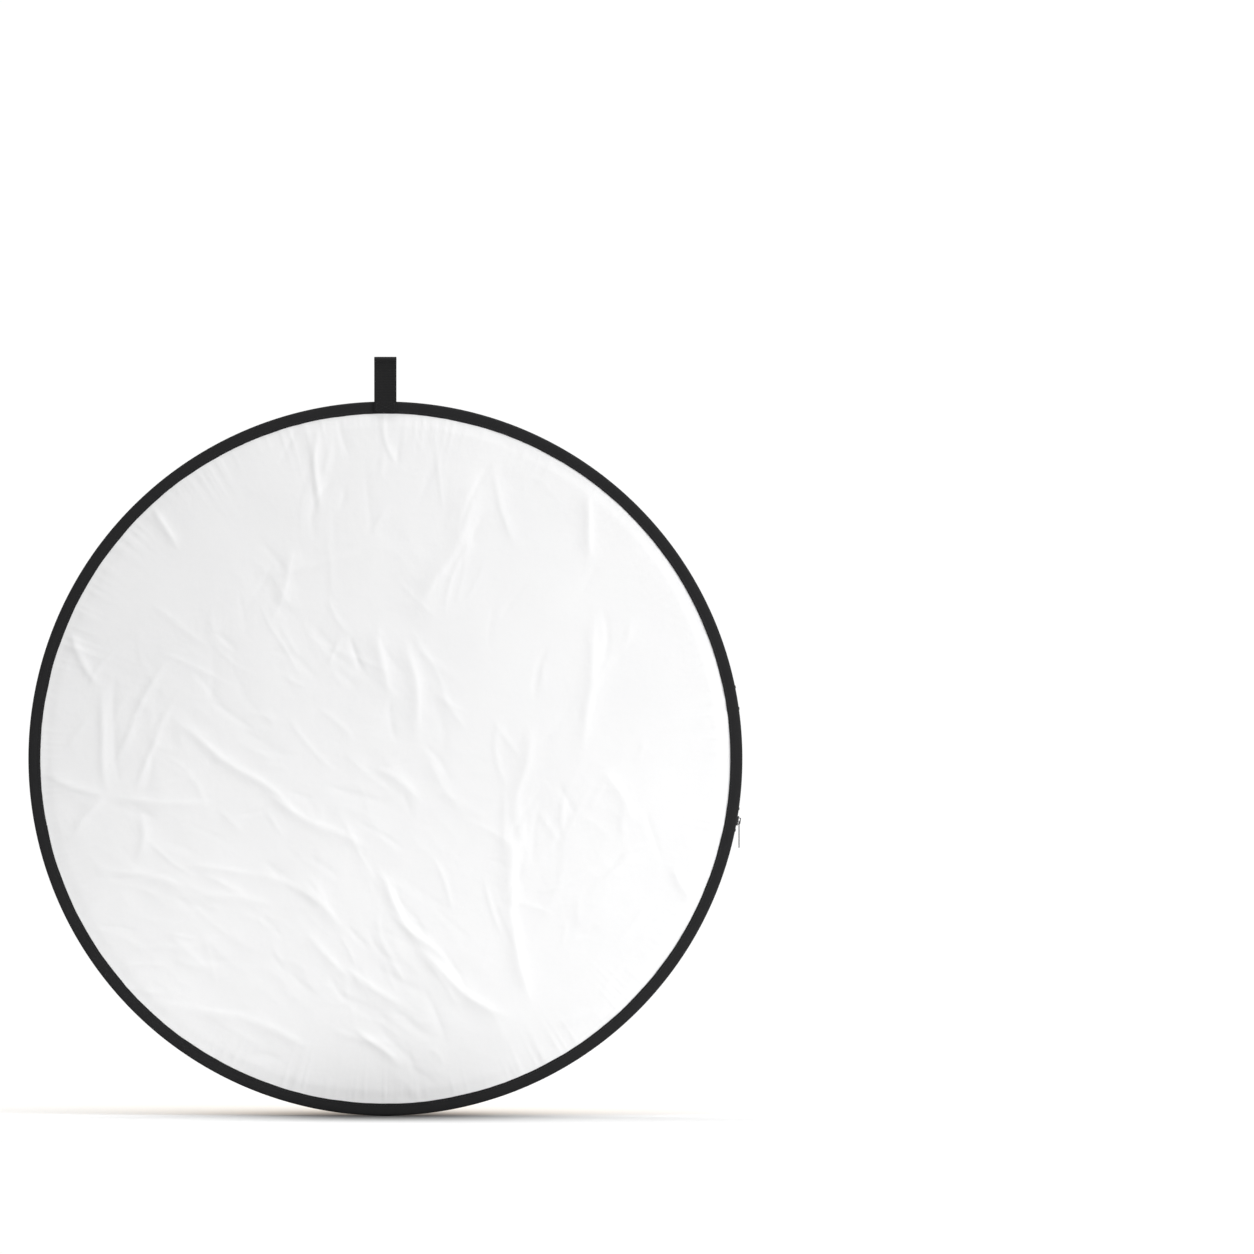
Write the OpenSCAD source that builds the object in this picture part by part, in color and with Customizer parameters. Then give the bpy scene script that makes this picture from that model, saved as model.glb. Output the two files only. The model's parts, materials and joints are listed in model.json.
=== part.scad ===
// Collapsible reflector disc: a spring-hoop diffuser inside a reversible cover that zips round its rim.
// The disc stands upright in the XZ plane. Its front face looks along -Y and its hanging tab points up.
// The origin is the centre of the eye at the top of the tab.
// Sections are drawn in the disc's own frame: distance from the disc's axis, and height towards the front.

/* [Disc] */
// Diameter over the bound rim
disc_d = 800; // [500:10:1200]
// Width of the bound rim, seen from the front
rim_w = 13; // [11:0.5:20]
// Depth through the zipped rim, front face to back face
rim_depth = 14; // [13:0.5:20]
// Thickness of the edge binding
binding_t = 1; // [0.8:0.1:1.2]
// Rounding of the rim's outer corner
rim_round = 1.5; // [0.5:0.1:1.8]
// Thickness of one layer of cloth
cloth_t = 0.4; // [0.2:0.05:0.45]

/* [Core] */
// Radial gap between the zip tape and the core's rim
core_gap = 2.7; // [2.3:0.1:6]
// Play between the core's rim and the cover's lining, on each side
core_play = 0.8; // [0.5:0.1:1.5]
// Width of the core's bound rim
core_rim_w = 13; // [12:0.5:20]
// Thickness of the sleeve that holds the hoop
pocket_t = 0.8; // [0.5:0.1:1]
// Thickness of the spring steel band
band_t = 0.8; // [0.5:0.1:1]
// Wall of the crimped sleeve that joins the band's ends
sleeve_t = 0.5; // [0.4:0.1:0.6]
// Length of that sleeve along the hoop
sleeve_l = 25; // [18:1:40]
// Diameter of a rivet's shank
rivet_d = 1.6; // [1.2:0.1:2]
// Distance between the two rivets
rivet_gap = 12; // [8:1:14]

/* [Zip] */
// Width of the closed chain, both coils together
chain_w = 4.3; // [3.5:0.1:5]
// Thickness of a coil
coil_t = 1; // [0.8:0.1:1.4]
// Thickness of the zip tape
tape_t = 0.7; // [0.5:0.1:0.9]
// Length of rim that is sewn and not zipped
gusset_l = 96; // [70:1:140]
// Distance along the rim from the middle of the sewn stretch to the parked slider
slider_park = 70; // [70:1:90]
// Length of an end stop
stop_l = 3; // [2:0.5:4]

/* [Slider] */
// Length of the slider's plates along the rim
slider_l = 11; // [8:0.5:13]
// Thickness of the outer and the inner plate
plate_t = 1.2; // [0.9:0.1:1.5]
// Thickness of the side flanges
flange_t = 0.95; // [0.7:0.05:1.1]
// Thickness of the neck that runs between the coils
neck_t = 0.5; // [0.4:0.05:0.55]
// Length of the neck
neck_l = 3; // [2:0.5:4]
// Length of the bridge that holds the pull
bridge_l = 8; // [6.5:0.5:9]
// Width of the bridge
bridge_w = 2; // [1.5:0.1:2.4]
// Length of the pull from its pivot to its tip
pull_l = 30; // [24:1:45]
// Width of the pull
pull_w = 6; // [5:0.5:6.5]
// Thickness of the pull
pull_t = 1.1; // [0.8:0.1:1.2]

/* [Tabs] */
// Width of the webbing
tab_w = 25; // [15:1:40]
// Height of the cover's tab above the rim
tab_l = 50; // [30:1:80]
// Thickness of one layer of webbing
webbing_t = 1; // [0.7:0.1:1.2]
// Radius of the eye in the cover's tab
eye_r = 2.2; // [1.5:0.1:3]
// Height of the core's tab above the core's rim when it is up
core_tab_l = 50; // [30:1:60]
// Thickness of the core's folded tab
core_tab_t = 1.6; // [1.2:0.1:1.8]

/* [Stitching] */
// Width of a row of stitches
thread_w = 0.6; // [0.4:0.1:1]
// Thickness of a row of stitches
thread_h = 0.25; // [0.15:0.05:0.3]
// Distance of a row of stitches from the edge that it holds
stitch_inset = 1.5; // [1:0.25:2.5]

/* [Hidden] */
$fn = 180;

// Clearances
slide_play = 0.3;   // between the slider and what it runs along
turn_play = 0.2;    // round the pull's crossbar
hinge_play = 0.3;   // between the gusset and the back panel
sleeve_play = 0.1;  // between the splice sleeve and the hoop's pocket
wall_play = 0.4;    // between the slider and the bindings
eps = 0.01;

// The cover's section
rim_r = disc_d / 2;
face_h = rim_depth / 2;
cloth_h = face_h - binding_t;
lining_h = cloth_h - cloth_t;
inside_h = lining_h - cloth_t;
wall_in_r = rim_r - binding_t;
tape_in_r = wall_in_r - tape_t;
coil_out_r = wall_in_r + coil_t;
flange_in_h = chain_w / 2 + slide_play;
slider_h = flange_in_h + flange_t;
wall_h = slider_h + wall_play;
coil_in_h = neck_t / 2 + slide_play;
gusset_h = hinge_play - wall_h;
stitch_r = rim_r - rim_w + stitch_inset;

// The core's section
core_r = tape_in_r - core_gap;
core_h = inside_h - core_play;
core_in_r = core_r - core_rim_w;
lip_h = 1;
lip_w = 4;
pocket_r = core_r - pocket_t;
pocket_h = core_h - pocket_t;
sleeve_r = pocket_r - sleeve_play;
sleeve_h = pocket_h - sleeve_play;
band_r = sleeve_r - sleeve_t;
band_h = sleeve_h - sleeve_t;
pocket_in_r = band_r - band_t - sleeve_t - 1.2;
diffuser_r = pocket_in_r - 0.4;
rivet_head_d = rivet_d * 1.7;
rivet_head_t = 0.6;
band_joint = 0.6;

// Places along the rim, as angles from the middle of the sewn stretch
function along(length) = length / rim_r * 180 / PI;
gusset_a = along(gusset_l / 2);
zip_a = along(gusset_l / 2 + 2);
stop_a = along(gusset_l / 2 + 7);
park_a = along(slider_park);
back_zip_a = along(slider_park + slider_l / 2 + 4);
down_a = 270;

// Tabs
tab_top_r = rim_r + tab_l;
eye_out_r = eye_r + webbing_t;
eye_at_r = tab_top_r - eye_out_r;
tab_h = face_h + webbing_t;
tab_foot_r = rim_r - rim_w + 0.5;
core_tab_axis_h = core_h + 0.1;
core_tab_axis_r = core_in_r - 1;
core_tab_back_h = core_tab_axis_h - 0.3 - core_tab_t;
core_tab_reach = core_tab_l + core_rim_w + 1;
foot_top_h = core_tab_back_h + 1.3;
tack_w = tab_w - 5;

// Slider
plate_out_r = coil_out_r + slide_play + plate_t;
plate_in_r = tape_in_r - slide_play - plate_t;
crossbar_r = pull_t / 2;
pivot_r = plate_out_r + turn_play + crossbar_r;
roof_r = pivot_r + crossbar_r + turn_play;
roof_t = 1.1;
rail_in_h = bridge_w / 2 + turn_play;
window_l = bridge_l / 2 + roof_t + 2.5;

// Points on an arc about [x, y]
function arc(x, y, r, from, to, n = 5) =
    [for (i = [0 : n]) let (a = from + (to - from) * i / n) [x + r * cos(a), y + r * sin(a)]];

// Stands the disc up with the tab's eye at the origin
module upright() {
    translate([0, tab_h, -eye_at_r])
        rotate([90, 0, 0])
            children();
}

// A ring, or a stretch of one, with a section given as [r, h] points
module ring(points, from = 0, to = 360) {
    rotate([0, 0, from])
        rotate_extrude(angle = to - from)
            polygon(points);
}

// A rectangular section
function bar(r0, r1, h0, h1) = [[r0, h0], [r1, h0], [r1, h1], [r0, h1]];

// A binding's section on the front side: a leg over the cloth's edge, with the groove that its
// stitches pull into it, and a wall down to the zip
function binding_section() = concat(
    [[rim_r - rim_w, cloth_h], [wall_in_r, cloth_h], [wall_in_r, wall_h], [rim_r, wall_h]],
    arc(rim_r - rim_round, face_h - rim_round, rim_round, 0, 90),
    [[stitch_r + thread_w, face_h], [stitch_r + thread_w, face_h - thread_h]],
    [[stitch_r, face_h - thread_h], [stitch_r, face_h], [rim_r - rim_w, face_h]]);

// A flat round cloth
module round_cloth(r, h0, h1) {
    translate([0, 0, h0])
        cylinder(r = r, h = h1 - h0);
}

// Puts a piece on the back panel, as the mirror of the front one
module on_back() {
    mirror([0, 0, 1])
        children();
}

// A straight piece of webbing across the top of the disc, from r0 to r1
module strap(w, r0, r1, h0, h1) {
    translate([-w / 2, r0, h0])
        cube([w, r1 - r0, h1 - h0]);
}

// An outline of stitches with one row across each end
module box_tack(w, r0, r1, h0, h1) {
    difference() {
        strap(w, r0, r1, h0, h1);
        strap(w - 2 * thread_w, r0 + thread_w, r1 - thread_w, h0 - 1, h1 + 1);
    }
}

// Row of stitches that closes a binding over the cloth
module rim_stitches() {
    ring(bar(stitch_r, stitch_r + thread_w, face_h - thread_h, face_h));
}

module zip_tape(end_a) {
    ring(bar(tape_in_r, wall_in_r, coil_in_h, inside_h), end_a, 360 - end_a);
}

module zip_coil(end_a) {
    ring(bar(wall_in_r, coil_out_r, coil_in_h, chain_w / 2), end_a, 360 - end_a);
}

// A stop clamped over each end of a coil
module zip_stops(end_a) {
    stop = bar(coil_out_r, coil_out_r + 0.6, coil_in_h, chain_w / 2);
    ring(stop, end_a, end_a + along(stop_l));
    ring(stop, -end_a - along(stop_l), -end_a);
}

module white_cloth() {
    color("white")
        upright()
            round_cloth(wall_in_r, lining_h, cloth_h);
}

module black_cloth() {
    color([0.16, 0.16, 0.16])
        upright()
            round_cloth(wall_in_r, inside_h, lining_h);
}

module front_binding() {
    color([0.1, 0.1, 0.1])
        upright()
            ring(binding_section());
}

module front_stitching() {
    color([0.05, 0.05, 0.05])
        upright()
            rim_stitches();
}

module front_zip_tape() {
    color([0.12, 0.12, 0.12])
        upright()
            zip_tape(zip_a);
}

module front_zip_coil() {
    color([0.2, 0.2, 0.2])
        upright()
            zip_coil(zip_a);
}

module front_zip_stops() {
    color([0.3, 0.3, 0.3])
        upright()
            zip_stops(stop_a);
}

// Strip sewn between the two bindings where the zip has its gap
module hinge_gusset() {
    section = [
        [tape_in_r, gusset_h], [rim_r - 0.2, gusset_h], [rim_r - 0.2, wall_h],
        [wall_in_r, wall_h], [wall_in_r, inside_h], [tape_in_r, inside_h]
    ];
    color([0.12, 0.12, 0.12])
        upright()
            ring(section, -gusset_a, gusset_a);
}

// Webbing folded double, with the eye in its fold
module cover_tab() {
    color([0.08, 0.08, 0.08])
        upright()
            difference() {
                union() {
                    strap(tab_w, tab_foot_r, eye_at_r, face_h, face_h + 2 * webbing_t);
                    translate([-tab_w / 2, eye_at_r, tab_h])
                        rotate([0, 90, 0])
                            cylinder(r = eye_out_r, h = tab_w);
                }
                translate([-tab_w / 2 - 1, eye_at_r, tab_h])
                    rotate([0, 90, 0])
                        cylinder(r = eye_r, h = tab_w + 2);
            }
}

// Box of stitches on the rim and a row below the eye
module cover_tab_stitching() {
    h0 = face_h + 2 * webbing_t;
    below_eye = eye_at_r - eye_out_r - 2;
    color([0.04, 0.04, 0.04])
        upright() {
            box_tack(tack_w, tab_foot_r + 1.5, rim_r - 1.5, h0, h0 + thread_h);
            strap(tack_w, below_eye - thread_w, below_eye, h0, h0 + thread_h);
        }
}

module gold_cloth() {
    color([0.9, 0.7, 0.3])
        upright()
            on_back()
                round_cloth(wall_in_r, lining_h, cloth_h);
}

module silver_cloth() {
    color([0.8, 0.8, 0.8])
        upright()
            on_back()
                round_cloth(wall_in_r, inside_h, lining_h);
}

module back_binding() {
    color([0.1, 0.1, 0.1])
        upright()
            on_back()
                ring(binding_section());
}

module back_stitching() {
    color([0.05, 0.05, 0.05])
        upright()
            on_back()
                rim_stitches();
}

module back_zip_tape() {
    color([0.12, 0.12, 0.12])
        upright()
            on_back()
                zip_tape(back_zip_a);
}

module back_zip_coil() {
    color([0.2, 0.2, 0.2])
        upright()
            on_back()
                zip_coil(back_zip_a);
}

module back_zip_stops() {
    color([0.3, 0.3, 0.3])
        upright()
            on_back()
                zip_stops(back_zip_a);
}

module diffuser_cloth() {
    color([0.93, 0.94, 0.97])
        upright()
            round_cloth(diffuser_r, -cloth_t / 2, cloth_t / 2);
}

// Binding round the core: two lips that hold the cloth, and a pocket for the hoop
module core_binding() {
    round_r = 2;
    outline = concat(
        [[core_in_r, -lip_h], [core_in_r + lip_w, -lip_h], [pocket_in_r - 0.4, -core_h]],
        arc(core_r - round_r, round_r - core_h, round_r, -90, 0),
        arc(core_r - round_r, core_h - round_r, round_r, 0, 90),
        [[pocket_in_r - 0.4, core_h], [core_in_r + lip_w, lip_h], [core_in_r, lip_h]]);
    color([0.1, 0.1, 0.1])
        upright()
            difference() {
                ring(outline);
                ring(bar(pocket_in_r, pocket_r, -pocket_h, pocket_h));
                round_cloth(diffuser_r, -cloth_t / 2, cloth_t / 2);
            }
}

// A row of stitches on each lip, with a gap under the tab's foot
module core_stitching() {
    r = core_in_r + stitch_inset;
    color([0.05, 0.05, 0.05])
        upright() {
            difference() {
                ring(bar(r, r + thread_w, lip_h, lip_h + thread_h));
                strap(tab_w + 0.4, r - 1, r + 2, 0, core_h);
            }
            on_back()
                ring(bar(r, r + thread_w, lip_h, lip_h + thread_h));
        }
}

// The drilled places where the band's ends are riveted
module rivet_places() {
    for (side = [-1, 1])
        rotate([0, 0, down_a + side * along(rivet_gap / 2)])
            rotate([0, 90, 0])
                children();
}

// Spring steel band, wide way along the disc's axis, with its ends meeting at the bottom
module hoop_band() {
    half = along(band_joint / 2);
    color([0.6, 0.6, 0.62])
        upright()
            difference() {
                ring(bar(band_r - band_t, band_r, -band_h, band_h), down_a + half, down_a + 360 - half);
                rivet_places()
                    cylinder(d = rivet_d, h = rim_r);
            }
}

// Crimped sleeve over the meeting ends of the band
module hoop_splice_sleeve() {
    half = along(sleeve_l / 2);
    color([0.45, 0.45, 0.47])
        upright()
            difference() {
                ring(bar(band_r - band_t - sleeve_t, sleeve_r, -sleeve_h, sleeve_h), down_a - half, down_a + half);
                ring(bar(band_r - band_t, band_r, -band_h, band_h), down_a - half - 1, down_a + half + 1);
                rivet_places()
                    cylinder(d = rivet_d, h = rim_r);
            }
}

module splice_rivets() {
    head_top = band_r - band_t - sleeve_t - 0.02;
    color([0.7, 0.7, 0.72])
        upright()
            rivet_places() {
                translate([0, 0, head_top - rivet_head_t])
                    cylinder(d = rivet_head_d, h = rivet_head_t);
                translate([0, 0, head_top - eps])
                    cylinder(d = rivet_d, h = sleeve_r - head_top);
            }
}

// The sewn end of the core's tab, folded up on the lip
module core_tab_foot() {
    color([0.08, 0.08, 0.08])
        upright()
            strap(tab_w, core_in_r + 0.3, core_in_r + lip_w - 0.5, lip_h, foot_top_h);
}

// The core's tab, hanging inside the closed cover
module core_tab() {
    color([0.08, 0.08, 0.08])
        upright()
            strap(tab_w, core_tab_axis_r - core_tab_reach, core_tab_axis_r - 0.2,
                core_tab_back_h, core_tab_back_h + core_tab_t);
}

module core_tab_stitching() {
    h0 = core_tab_back_h + core_tab_t;
    tip = core_tab_axis_r - core_tab_reach;
    color([0.04, 0.04, 0.04])
        upright() {
            strap(tack_w, tip + 4, tip + 4 + thread_w, h0, h0 + thread_h);
            strap(tack_w, core_tab_axis_r - 4, core_tab_axis_r - 4 + thread_w, h0, h0 + thread_h);
        }
}

// Slider parked on the front coil: two plates, side flanges, a neck and the bridge for the pull
module zip_slider() {
    plate_a = along(slider_l / 2);
    neck_a = along(neck_l / 2);
    bridge_a = along(bridge_l / 2);
    gap_a = along(bridge_l / 2 - roof_t);
    flange_r = wall_in_r + slide_play;
    plate_r = plate_out_r - plate_t;
    outer_section = [
        [flange_r, -slider_h], [plate_out_r, -slider_h], [plate_out_r, slider_h], [flange_r, slider_h],
        [flange_r, flange_in_h], [plate_r, flange_in_h], [plate_r, -flange_in_h], [flange_r, -flange_in_h]
    ];
    inner_section = bar(plate_in_r, plate_in_r + plate_t, -slider_h, slider_h);
    neck_section = bar(plate_in_r + plate_t / 2, plate_out_r - plate_t / 2, -neck_t / 2, neck_t / 2);
    bridge_section = bar(plate_out_r - plate_t / 2, roof_r + roof_t, -bridge_w / 2, bridge_w / 2);
    under_bridge = bar(plate_out_r, roof_r, -bridge_w, bridge_w);
    color([0.15, 0.15, 0.15])
        upright()
            rotate([0, 0, -park_a])
                union() {
                    ring(outer_section, -plate_a, plate_a);
                    ring(inner_section, -plate_a, plate_a);
                    ring(neck_section, -neck_a, neck_a);
                    difference() {
                        ring(bridge_section, -bridge_a, bridge_a);
                        ring(under_bridge, -gap_a, gap_a);
                    }
                }
}

// Pull hanging straight down from the crossbar that passes under the bridge
module zip_pull() {
    pivot = [pivot_r * cos(park_a), -pivot_r * sin(park_a), 0];
    color([0.12, 0.12, 0.12])
        upright()
            translate(pivot)
                union() {
                    translate([0, 0, -pull_w / 2])
                        cylinder(r = crossbar_r, h = pull_w);
                    difference() {
                        translate([-pull_t / 2, -pull_l, -pull_w / 2])
                            cube([pull_t, pull_l, pull_w]);
                        translate([-pull_t, -window_l, -rail_in_h])
                            cube([2 * pull_t, window_l + pull_t, 2 * rail_in_h]);
                    }
                    translate([0, 0, -rail_in_h - eps])
                        cylinder(r = crossbar_r, h = 2 * rail_in_h + 2 * eps);
                }
}

white_cloth();
black_cloth();
front_binding();
front_stitching();
front_zip_tape();
front_zip_coil();
front_zip_stops();
hinge_gusset();
cover_tab();
cover_tab_stitching();
gold_cloth();
silver_cloth();
back_binding();
back_stitching();
back_zip_tape();
back_zip_coil();
back_zip_stops();
diffuser_cloth();
core_binding();
core_stitching();
hoop_band();
hoop_splice_sleeve();
splice_rivets();
core_tab_foot();
core_tab();
core_tab_stitching();
zip_slider();
zip_pull();
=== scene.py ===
import json
import math
import bpy
import numpy as np
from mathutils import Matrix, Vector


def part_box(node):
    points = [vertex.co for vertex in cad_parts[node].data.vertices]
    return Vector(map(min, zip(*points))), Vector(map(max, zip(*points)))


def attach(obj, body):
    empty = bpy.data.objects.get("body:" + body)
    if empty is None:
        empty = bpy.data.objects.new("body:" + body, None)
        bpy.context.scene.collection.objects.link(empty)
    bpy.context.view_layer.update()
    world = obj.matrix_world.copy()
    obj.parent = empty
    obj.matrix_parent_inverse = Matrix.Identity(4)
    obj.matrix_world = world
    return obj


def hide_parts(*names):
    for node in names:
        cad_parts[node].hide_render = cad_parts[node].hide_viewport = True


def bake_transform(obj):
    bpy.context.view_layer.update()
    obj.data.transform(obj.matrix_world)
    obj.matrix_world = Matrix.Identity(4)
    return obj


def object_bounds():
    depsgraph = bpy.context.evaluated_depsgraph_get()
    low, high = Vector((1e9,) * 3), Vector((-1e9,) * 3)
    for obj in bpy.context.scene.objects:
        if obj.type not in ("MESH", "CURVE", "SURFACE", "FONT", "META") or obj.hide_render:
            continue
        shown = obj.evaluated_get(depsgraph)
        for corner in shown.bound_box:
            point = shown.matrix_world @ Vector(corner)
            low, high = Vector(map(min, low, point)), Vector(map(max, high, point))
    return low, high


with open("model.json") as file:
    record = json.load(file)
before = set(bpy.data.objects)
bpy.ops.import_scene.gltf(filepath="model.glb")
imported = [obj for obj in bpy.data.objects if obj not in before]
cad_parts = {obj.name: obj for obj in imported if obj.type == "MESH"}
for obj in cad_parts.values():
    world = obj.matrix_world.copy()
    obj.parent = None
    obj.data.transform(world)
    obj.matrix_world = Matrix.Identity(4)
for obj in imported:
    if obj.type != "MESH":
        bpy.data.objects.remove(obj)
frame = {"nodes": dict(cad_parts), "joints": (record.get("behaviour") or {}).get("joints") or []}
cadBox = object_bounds()
print("reflector: frame loaded")

# places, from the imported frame
mm = 0.001
joints = {joint["name"]: joint for joint in frame["joints"]}
discX, discY, discZ = joints["slider_travel"]["pos_m"]
rim = {"width": 13 * mm, "thread": 0.3 * mm}       # the binding's, and half the width of its row of stitches
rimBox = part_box("back_binding")
rimR = (rimBox[1].x - rimBox[0].x) / 2
faceH = rimBox[1].y - discY                        # the rim's face, from the middle plane
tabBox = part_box("cover_tab")
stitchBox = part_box("back_stitching")
stitchR = (stitchBox[1].x - stitchBox[0].x) / 2 - rim["thread"]
rimInR = rimR - rim["width"]
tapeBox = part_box("front_zip_tape")
tapeR = (tapeBox[1].z - tapeBox[0].z) / 2          # outside of the zip tape
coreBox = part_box("core_binding")
coreR = (coreBox[1].z - coreBox[0].z) / 2
coreH = (coreBox[1].y - coreBox[0].y) / 2
coreInR = coreR - rim["width"]
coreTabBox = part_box("core_tab")


# distance from the axis, angle from +X towards +Z, and height towards the front, as row points
def discPoint(r, angle, h):
    r, angle, h = np.broadcast_arrays(r, angle, h)
    return np.stack([discX + r * np.cos(angle), discY - h, discZ + r * np.sin(angle)], axis=-1)


# mesh helpers: quads of a grid of points: (indices into the points, indices into an unwrapped grid for the map)
def gridCorners(rows, cols, wrapRows=False, wrapCols=False):
    i, j = np.meshgrid(np.arange(rows if wrapRows else rows - 1),
                       np.arange(cols if wrapCols else cols - 1), indexing="ij")
    i, j = i.ravel(), j.ravel()
    ring = [(i, j), (i, j + 1), (i + 1, j + 1), (i + 1, j)]
    points = np.stack([(a % rows) * cols + b % cols for a, b in ring], axis=1)
    flat = np.stack([a * (cols + 1) + b for a, b in ring], axis=1)
    return points, flat


# puts points and faces, given as arrays of equal-sided faces, into a smooth mesh object
def addMesh(name, points, faceSets, mapSets=None, material=None, flip=False):
    mesh = bpy.data.meshes.new(name)
    points = np.asarray(points, float).reshape(-1, 3)
    if flip:
        faceSets = [faces[:, ::-1] for faces in faceSets]
        mapSets = None if mapSets is None else [uv[:, ::-1] for uv in mapSets]
    corners = np.concatenate([faces.ravel() for faces in faceSets]).astype(np.int32)
    sides = np.concatenate([np.full(len(faces), faces.shape[1]) for faces in faceSets])
    starts = np.concatenate([[0], np.cumsum(sides)[:-1]]).astype(np.int32)
    mesh.vertices.add(len(points))
    mesh.vertices.foreach_set("co", points.astype(np.float32).ravel())
    mesh.loops.add(len(corners))
    mesh.loops.foreach_set("vertex_index", corners)
    mesh.polygons.add(len(starts))
    mesh.polygons.foreach_set("loop_start", starts)
    mesh.polygons.foreach_set("use_smooth", np.ones(len(starts), bool))
    if mapSets is not None:
        layer = mesh.uv_layers.new(name="along")
        flatMap = np.concatenate([uv.reshape(-1, 2) for uv in mapSets])
        layer.data.foreach_set("uv", flatMap.astype(np.float32).ravel())
    mesh.update(calc_edges=True)
    piece = bpy.data.objects.new(name, mesh)
    bpy.context.scene.collection.objects.link(piece)
    if material:
        mesh.materials.append(material)
    return piece


# a closed section carried along a path: sections is (steps, points, 3). The map runs along, then round
def sweep(name, sections, lengths, material, closedPath=False, flip=False):
    steps, count = sections.shape[:2]
    faces, flat = gridCorners(steps, count, closedPath, True)
    edges = np.linalg.norm(np.diff(sections[0], axis=0, append=sections[0][:1]), axis=1)
    around = np.concatenate([[0], np.cumsum(edges)])
    uv = np.stack(np.meshgrid(lengths, around, indexing="ij"), axis=-1).reshape(-1, 2)
    faceSets, mapSets = [faces], [uv[flat]]
    if not closedPath:                             # flat ends
        ends = np.stack([np.arange(count)[::-1], (steps - 1) * count + np.arange(count)])
        faceSets.append(ends)
        mapSets.append(np.zeros((2, count, 2)))
    return addMesh(name, sections, faceSets, mapSets, material, flip)


# points on part of a circle, as (r, h) pairs
def arc(r0, h0, radius, fromDeg, toDeg, count=6):
    a = np.radians(np.linspace(fromDeg, toDeg, count))
    return np.stack([r0 + radius * np.cos(a), h0 + radius * np.sin(a)], axis=1)


# 0 below low, 1 above high, with an S curve between
def smooth(x, low, high):
    t = np.clip((x - low) / (high - low), 0, 1)
    return t * t * (3 - 2 * t)


driftSize = 256                                    # cells along each side of a net before it repeats


# soft noise, nearly all from -1 to 1: three turned square nets of random slopes, blended and added
def drift(x, z, cell, seed):
    total = np.zeros(np.broadcast(x, z).shape)
    for turn in range(3):
        slopes = np.random.default_rng(seed * 7 + turn).uniform(0, 2 * np.pi, (driftSize, driftSize))
        angle = seed * 1.7 + turn * np.pi / 3.3
        fx = (x * math.cos(angle) - z * math.sin(angle)) / cell + 97.3
        fz = (x * math.sin(angle) + z * math.cos(angle)) / cell + 61.7
        ix, iz = np.floor(fx).astype(int), np.floor(fz).astype(int)
        tx, tz = fx - ix, fz - iz
        corner = [[np.cos(slopes[(ix + i) % driftSize, (iz + j) % driftSize]) * (tx - i)
                   + np.sin(slopes[(ix + i) % driftSize, (iz + j) % driftSize]) * (tz - j)
                   for j in (0, 1)] for i in (0, 1)]
        bx, bz = smooth(tx, 0, 1), smooth(tz, 0, 1)
        low = corner[0][0] * (1 - bx) + corner[1][0] * bx
        total = total + low * (1 - bz) + (corner[0][1] * (1 - bx) + corner[1][1] * bx) * bz
    return total


# points of a square net laid over a disc without a pole: each square ring becomes a circle
def roundNet(count, radius):
    s = np.linspace(-1, 1, count)
    a, b = np.meshgrid(s, s, indexing="ij")
    wide = np.abs(a) >= np.abs(b)
    turn = np.where(wide, b / np.where(wide, np.where(a == 0, 1, a), 1) * np.pi / 4,
                    np.pi / 2 - a / np.where(wide, 1, np.where(b == 0, 1, b)) * np.pi / 4)
    reach = np.where(wide, a, b) * radius
    return reach * np.cos(turn), reach * np.sin(turn)


# sum of ridges: each follows a bent line, falls off to its sides and fades at its ends
def creaseHeight(x, z, creases, scale):
    height = np.zeros_like(x)
    wander = drift(x, z, 0.075, 5)
    for x0, z0, x1, z1, bend, width, rise in creases:
        x0, z0, x1, z1 = (value * scale for value in (x0, z0, x1, z1))
        length = math.hypot(x1 - x0, z1 - z0)
        ux, uz = (x1 - x0) / length, (z1 - z0) / length
        t = ((x - x0) * ux + (z - z0) * uz) / length
        across = (z - z0) * ux - (x - x0) * uz - bend * length * 4 * t * (1 - t)
        side = across / (width * mm) + 0.9 * wander
        taper = smooth(t, -0.04, 0.30) * (1 - smooth(t, 0.62, 1.04))
        height += rise * mm * taper * np.exp(-np.abs(side) ** 1.4) * (1 - 0.45 * np.tanh(side * 1.5))
    return height


# random short creases; each zone gives a middle, a reach, and the direction its creases lean to
def smallCreases(count, seed, zones, longest):
    draw = np.random.default_rng(seed)
    creases = []
    for number in range(count):
        middleX, middleZ, reach, lean = zones[number % len(zones)]
        x, z = middleX + draw.normal() * reach, middleZ + draw.normal() * reach
        angle = math.radians(lean + draw.normal() * 16)
        half = draw.uniform(0.3, 1.0) * longest / 2
        creases.append((x - half * math.cos(angle), z - half * math.sin(angle), x + half * math.cos(angle),
                        z + half * math.sin(angle), draw.normal() * 0.06, draw.uniform(2.6, 5.5),
                        draw.choice([-1, 1]) * draw.uniform(0.12, 0.48)))
    return creases


# irregular small pleats that run in from the sewn edge and fade
def puckers(x, z, radius, depth, seed):
    r = np.maximum(np.hypot(x, z), 1 * mm)
    rimX, rimZ = x / r * radius, z / r * radius
    pleat = np.clip(1 - 3.2 * np.abs(drift(rimX, rimZ, 0.012, seed)), 0, 1) ** 2
    soft = drift(rimX, rimZ, 0.03, seed + 1)
    reach = (7 + 16 * np.clip(drift(rimX, rimZ, 0.05, seed + 2) + 0.4, 0, 1.2)) * mm
    return depth * (pleat - 0.35 + 0.6 * soft) * np.exp(-np.abs(radius - r) / reach)


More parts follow.
